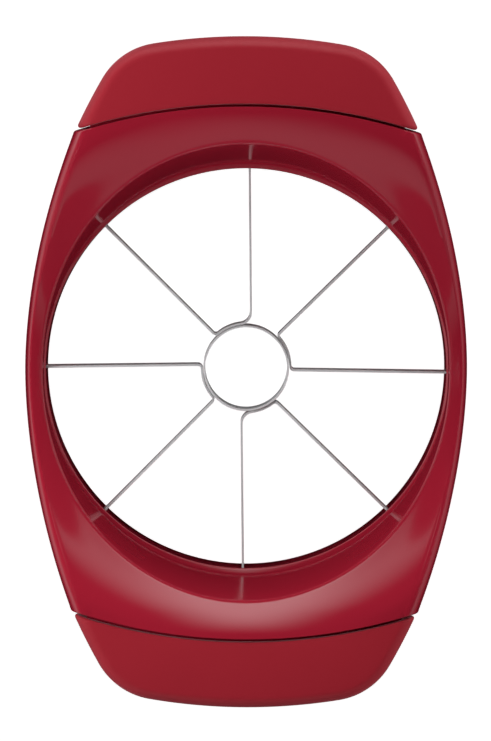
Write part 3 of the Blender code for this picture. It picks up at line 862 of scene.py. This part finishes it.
def cut_slots(piece, form, steel):
    """Cuts the eight slots through the throat ring, under its lip."""
    for _, degrees, first_leg, last_leg, _ in strips:
        for leg, azimuth in ((first_leg, degrees), (last_leg, degrees - strip_turn)):
            heading, _, _, tip = leg_line(form, steel, leg, math.radians(azimuth))
            end = tip + heading * seat_gap
            length = end.dot(heading) - form.throat_radius + cut_overrun
            middle = end - heading * length / 2.0
            low, high = blade_low - seat_gap, blade_top + seat_gap
            deselect()
            bpy.ops.mesh.primitive_cube_add(
                size=1.0, location=(*middle, (low + high) / 2.0),
                rotation=(0.0, 0.0, math.atan2(heading.y, heading.x)),
                scale=(length, strip_thickness + 2.0 * seat_gap, high - low))
            combine(piece, bpy.context.object, "DIFFERENCE")


def add_pads(piece):
    """Joins on the round pads round the screws, and sinks a seat for each head."""
    for low, high in screw_boxes:
        x, y = (low.x + high.x) / 2.0, (low.y + high.y) / 2.0
        deselect()
        bpy.ops.mesh.primitive_cylinder_add(
            vertices=48, radius=pad_radius, depth=pad_depth, location=(x, y, pad_height + pad_depth / 2.0))
        pad = bpy.context.object
        bevel = pad.modifiers.new("rounded rim", "BEVEL")
        bevel.width = pad_round
        bevel.segments = 3
        bpy.ops.object.modifier_apply(modifier=bevel.name)
        combine(piece, pad, "UNION")
        deselect()
        bpy.ops.mesh.primitive_cylinder_add(
            vertices=40, radius=head_radius + seat_gap, depth=recess_depth,
            location=(x, y, head_seat + seat_gap - recess_depth / 2.0))
        combine(piece, bpy.context.object, "DIFFERENCE")


class CORER_OT_grips(bpy.types.Operator):
    """Model both soft grips, rounded all round and slightly crowned on top"""
    bl_idname = "corer.grips"
    bl_label = "Grips"

    def execute(self, context):
        form = BodyForm(context.scene.corer_frame)
        sizes = context.scene.corer_grips
        for side, sign in (("rear", 1.0), ("front", -1.0)):
            piece = model_grip(f"{side}_soft_grip", form, sizes, sign)
            hand_over(piece, "soft_red", soft_red(), f"{side}_grip")
        return {"FINISHED"}


def model_grip(name, form, sizes, sign):
    """A grip drawn up from outlines, its top and underside swelling to a line midway to the seam."""
    middle = (under_end + form.rim_end) / 2.0
    half = (form.rim_end - under_end) / 2.0 - sizes.crown
    loops = []
    for step in range(-grip_steps, grip_steps + 1):
        turn = math.radians(90.0) * step / grip_steps
        rise = math.copysign(abs(math.sin(turn)) ** (2.0 / grip_power), turn)
        inset = 1.0 - math.cos(turn) ** (2.0 / grip_power)
        if step < 0:
            inset *= under_edge_share
        back = seat_gap + grip_seam_edge * inset ** 2
        plan = [spot * sign for spot in form.handle_loop(sizes.edge * inset, back, grip_plan_corner)]
        loops.append(lift(plan, [middle + half * rise] * len(plan)))
    loops = swelling(loops[0], -sizes.crown)[::-1] + loops + swelling(loops[-1], sizes.crown)
    piece, _, _ = draw_outlines(name, loops)
    end_modelling(piece)
    return piece


def swelling(outline, rise):
    """Outlines from a grip's rim in to the line midway between its outer edge and its seam."""
    across = [(outline[-index] - spot) / 2.0 for index, spot in enumerate(outline)]
    widest = max(half.length for half in across)
    loops = []
    for step in range(1, swell_steps + 1):
        share = step / swell_steps
        swell = rise * (1.0 - (1.0 - share) ** 2)
        ups = [Vector((0.0, 0.0, swell * (half.length / widest) ** 2)) for half in across]
        loops.append([spot + half * share + up for spot, half, up in zip(outline, across, ups)])
    return loops


def leg_line(form, steel, leg, azimuth):
    """A leg's outward heading, the clockwise way square to it, its drift off the axis and its tip."""
    out = Vector((math.cos(azimuth), math.sin(azimuth)))
    clockwise = Vector((out.y, -out.x))
    first, last = leg_drifts[leg]
    near = out * form.throat_radius * near_share + clockwise * steel.drift * first
    far = out * form.throat_radius + clockwise * steel.drift * last
    heading = (far - near).normalized()
    aside = Vector((heading.y, -heading.x))
    drift = near.dot(aside)
    tip_reach = mix(base_side, base_end, out.y ** 2) + shell_wall
    tip = heading * math.sqrt(tip_reach ** 2 - drift ** 2) + aside * drift
    return heading, aside, drift, tip


def leg_points(form, steel, leg, azimuth, turn, bend, radius):
    heading, aside, drift, tip = leg_line(form, steel, leg, azimuth)
    square = drift + turn * bend
    along = math.sqrt((radius + bend) ** 2 - square ** 2)
    centre = heading * along + aside * square
    leaves_leg = heading * along + aside * drift
    meets_ring = centre * (radius / (radius + bend))
    return [tip] + arc_points(centre, leaves_leg, meets_ring, bend_steps)


class CORER_OT_blade_strips(bpy.types.Operator):
    """Model the four bent strips that make the eight blade legs"""
    bl_idname = "corer.blade_strips"
    bl_label = "Blade Strips"

    def execute(self, context):
        form = BodyForm(context.scene.corer_frame)
        steel = context.scene.corer_steel
        radius = steel.bore_radius + core_wall + weld_gap + strip_thickness / 2.0
        for name, degrees, first_leg, last_leg, last_bend in strips:
            azimuth = math.radians(degrees)
            turned = math.radians(degrees - strip_turn)
            first = leg_points(form, steel, first_leg, azimuth, 1, tight_bend, radius)
            last = leg_points(form, steel, last_leg, turned, -1, last_bend, radius)
            wrap = arc_points(Vector((0.0, 0.0)), first[-1], last[-1], wrap_steps)[1:-1]
            model_strip(name.replace("blade", "steel"), first + wrap + last[::-1], name)
        return {"FINISHED"}


def model_strip(name, path, node):
    half = strip_thickness / 2.0
    soft = strip_round
    section = [(-half + soft, blade_top), (half - soft, blade_top), (half, blade_top - soft),
               (half, blade_low + grind_height), (edge_half, blade_low), (-edge_half, blade_low),
               (-half, blade_low + grind_height), (-half, blade_top - soft)]
    loops = []
    for index, spot in enumerate(path):
        before = path[max(index - 1, 0)]
        after = path[min(index + 1, len(path) - 1)]
        heading = (after - before).normalized()
        aside = Vector((heading.y, -heading.x))
        loops.append([Vector((*(spot + aside * across), height)) for across, height in section])
    piece, first, last = draw_outlines(name, loops)
    fill_ends(piece, first, last)
    end_modelling(piece, strip_smooth_angle)
    hand_over(piece, "blade_steel", blade_steel(), node)


class CORER_OT_core_ring(bpy.types.Operator):
    """Model the core ring by spinning its ground section round the axis"""
    bl_idname = "corer.core_ring"
    bl_label = "Core Ring"

    def execute(self, context):
        steel = context.scene.corer_steel
        inner, outer = steel.bore_radius, steel.bore_radius + core_wall
        soft = core_round
        low, high = ring_low.z, ring_high.z
        section = [(outer, high - soft), (outer, low + grind_height), (inner + 2.0 * edge_half, low),
                   (inner, low), (inner, high - soft), (inner + soft, high), (outer - soft, high)]
        spots = [Vector((radius, 0.0, height)) for radius, height in section]
        piece, _, _ = draw_outlines("spun_core_ring", [spots])
        bpy.ops.mesh.select_all(action="SELECT")
        bpy.ops.mesh.spin(steps=spin_steps, angle=math.tau, center=(0, 0, 0), axis=(0, 0, 1))
        end_modelling(piece)
        hand_over(piece, "blade_steel", blade_steel(), "core_ring")
        return {"FINISHED"}


class CORER_OT_screws(bpy.types.Operator):
    """Finish the four packed screws in plated steel"""
    bl_idname = "corer.screws"
    bl_label = "Screws"

    def execute(self, context):
        for index in range(1, 5):
            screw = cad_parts[f"frame_screw_{index}"]
            screw.material_slots[0].material = screw_steel()
        return {"FINISHED"}


class CORER_OT_stage(bpy.types.Operator):
    """Set the pale floor, the soft lights and the camera"""
    bl_idname = "corer.stage"
    bl_label = "Stage"

    def execute(self, context):
        deselect()
        bpy.ops.mesh.primitive_plane_add(size=floor_size, location=(0.0, 0.0, 0.0))
        floor = context.object
        floor.name = "pale_floor"
        floor.data.materials.append(floor_material())
        paint_world(context.scene)
        for name, place, size, power in softboxes:
            add_softbox(name, place, size, power, floor)
        add_camera(context.scene)
        context.scene.view_settings.view_transform = "Standard"
        return {"FINISHED"}


def floor_material():
    """White paper to the camera, and nothing to mirrored rays or from below."""
    material = bpy.data.materials.new("pale_floor")
    material.use_nodes = True
    tree = material.node_tree
    tree.nodes.remove(tree.nodes["Principled BSDF"])
    out = tree.nodes["Material Output"]
    path = new_node(tree, "ShaderNodeLightPath", (-800, 300))
    side = new_node(tree, "ShaderNodeNewGeometry", (-800, -50))
    glow = new_node(tree, "ShaderNodeEmission", (-800, -300), Color=(1.0, 1.0, 1.0, 1.0), Strength=1.0)
    paper = new_node(tree, "ShaderNodeBsdfDiffuse", (-800, -420), Color=(0.8, 0.8, 0.8, 1.0))
    dull = new_node(tree, "ShaderNodeBsdfDiffuse", (-800, -540), Color=(0.8, 0.8, 0.8, 1.0))
    clear = new_node(tree, "ShaderNodeBsdfTransparent", (-800, -660))
    white = tree.nodes.new("ShaderNodeAddShader")
    seen = tree.nodes.new("ShaderNodeMixShader")
    shown = tree.nodes.new("ShaderNodeMixShader")
    open_to = tree.nodes.new("ShaderNodeMath")
    open_to.operation = "MAXIMUM"
    feed(tree, white, glow.outputs[0], paper.outputs[0])
    feed(tree, seen, path.outputs["Is Camera Ray"], dull.outputs[0], white.outputs[0])
    feed(tree, open_to, path.outputs["Is Glossy Ray"], side.outputs["Backfacing"])
    feed(tree, shown, open_to.outputs[0], seen.outputs[0], clear.outputs[0])
    feed(tree, out, shown.outputs[0])
    return material


def paint_world(scene):
    """A dim room, dark overhead, a bright screen low behind the tool and a lit floor at both sides."""
    world = bpy.data.worlds.new("studio_room")
    scene.world = world
    world.use_nodes = True
    tree = world.node_tree
    links = tree.links
    place = tree.nodes.new("ShaderNodeTexCoord")
    parts = tree.nodes.new("ShaderNodeSeparateXYZ")
    links.new(place.outputs["Generated"], parts.inputs[0])
    x, y, z = parts.outputs

    def value(operation, first, second=0.0, third=0.0):
        node = tree.nodes.new("ShaderNodeMath")
        node.operation = operation
        for socket, item in zip(node.inputs, (first, second, third)):
            if isinstance(item, float):
                socket.default_value = item
            else:
                links.new(item, socket)
        return node.outputs[0]

    def fade(item, full, none):
        """1 where the item is at full or beyond it, easing to 0 at none."""
        low, high = (1.0, 0.0) if full < none else (0.0, 1.0)
        return map_value(tree, (0, 0), item, low, high, min(full, none), max(full, none), "SMOOTHSTEP")

    shift = value("MULTIPLY", value("SUBTRACT", 1.0, fade(y, *room_front)), room_lowering)
    room = value("MULTIPLY", fade(value("ADD", z, shift), *room_overhead), fade(z, *room_below))
    room = value("MULTIPLY", room, room_level)
    aside = value("POWER", value("DIVIDE", value("ABSOLUTE", x), screen_half_width), screen_power)
    above = value("POWER", value("DIVIDE", value("MAXIMUM", z, 0.0), screen_height), screen_power)
    screen = value("MULTIPLY", fade(value("ADD", aside, above), *screen_edge), fade(y, *screen_back))
    screen = value("MULTIPLY", screen, fade(z, *screen_below))
    screen = value("MULTIPLY", screen, screen_level)
    left = value("MULTIPLY", fade(x, *left_floor_reach), fade(z, *left_floor_rise))
    left = value("MULTIPLY", left, left_floor_level)
    right = value("MULTIPLY", fade(x, *right_floor_reach), fade(z, *right_floor_rise))
    sides = value("MULTIPLY_ADD", right, right_floor_level, left)
    level = value("ADD", value("ADD", room, screen), sides)
    backdrop = tree.nodes["Background"]
    links.new(level, backdrop.inputs["Strength"])
    backdrop.inputs["Color"].default_value = (1.0, 1.0, 1.0, 1.0)
    seen = new_node(tree, "ShaderNodeBackground", (-200, -200), Color=(1.0, 1.0, 1.0, 1.0))
    path = new_node(tree, "ShaderNodeLightPath", (-400, 200))
    both = tree.nodes.new("ShaderNodeMixShader")
    feed(tree, both, path.outputs["Is Camera Ray"], backdrop.outputs[0], seen.outputs[0])
    feed(tree, tree.nodes["World Output"], both.outputs[0])


def add_softbox(name, place, size, power, passed_by):
    """A soft square light that faces the tool, with no mirror image, and off the given stage piece."""
    deselect()
    bpy.ops.object.light_add(type="AREA", location=place)
    light = bpy.context.object
    light.name = light.data.name = name
    light.data.size = size
    light.data.energy = power
    light.rotation_mode = "QUATERNION"
    light.rotation_quaternion = (Vector(softbox_target) - Vector(place)).to_track_quat("-Z", "Y")
    light.visible_camera = False
    light.visible_glossy = False
    unlit = bpy.data.collections.new(f"{name}_unlit")
    unlit.objects.link(passed_by)
    unlit.collection_objects[0].light_linking.link_state = "EXCLUDE"
    light.light_linking.receiver_collection = unlit


def add_camera(scene):
    stage = scene.corer_stage
    tilt = stage.camera_tilt
    away = Vector((0.0, math.sin(tilt), math.cos(tilt))) * stage.camera_distance
    deselect()
    bpy.ops.object.camera_add(location=Vector(stage.aim) + away, rotation=(-tilt, 0.0, 0.0))
    camera = bpy.context.object
    camera.name = "photo_camera"
    camera.rotation_mode = "QUATERNION"
    roll = Matrix.Rotation(stage.camera_roll, 3, "Z").to_quaternion()
    camera.rotation_quaternion = camera.rotation_quaternion @ roll
    camera.data.sensor_width = 36.0
    camera.data.lens = camera.data.sensor_width * stage.camera_distance / stage.view_height
    camera.data.clip_end = 100.0
    scene.camera = camera


class CORER_PT_panel(bpy.types.Panel):
    bl_label = "Apple Corer"
    bl_space_type = "VIEW_3D"
    bl_region_type = "UI"
    bl_category = "Apple Corer"

    def draw(self, context):
        for operator in operators:
            self.layout.operator(operator.bl_idname)
        for name in settings:
            box = self.layout.box()
            group = getattr(context.scene, name)
            for key in group.__annotations__:
                box.prop(group, key)


operators = (
    CORER_OT_upper_shell, CORER_OT_lower_shell, CORER_OT_grips, CORER_OT_core_ring, CORER_OT_blade_strips,
    CORER_OT_screws, CORER_OT_stage,
)
settings = {
    "corer_frame": FrameSizes, "corer_grips": GripSizes, "corer_steel": SteelSizes, "corer_finish": Finishes,
    "corer_stage": StageSizes,
}


def register():
    for group in (*settings.values(), *operators, CORER_PT_panel):
        bpy.utils.register_class(group)
    for name, group in settings.items():
        setattr(bpy.types.Scene, name, PointerProperty(type=group))


def unregister():
    for name in settings:
        delattr(bpy.types.Scene, name)
    for group in reversed((*settings.values(), *operators, CORER_PT_panel)):
        bpy.utils.unregister_class(group)


def main():
    register()
    bpy.ops.corer.upper_shell()
    bpy.ops.corer.lower_shell()
    bpy.ops.corer.grips()
    bpy.ops.corer.core_ring()
    bpy.ops.corer.blade_strips()
    bpy.ops.corer.screws()
    bpy.ops.corer.stage()


if __name__ == "__main__":
    main()
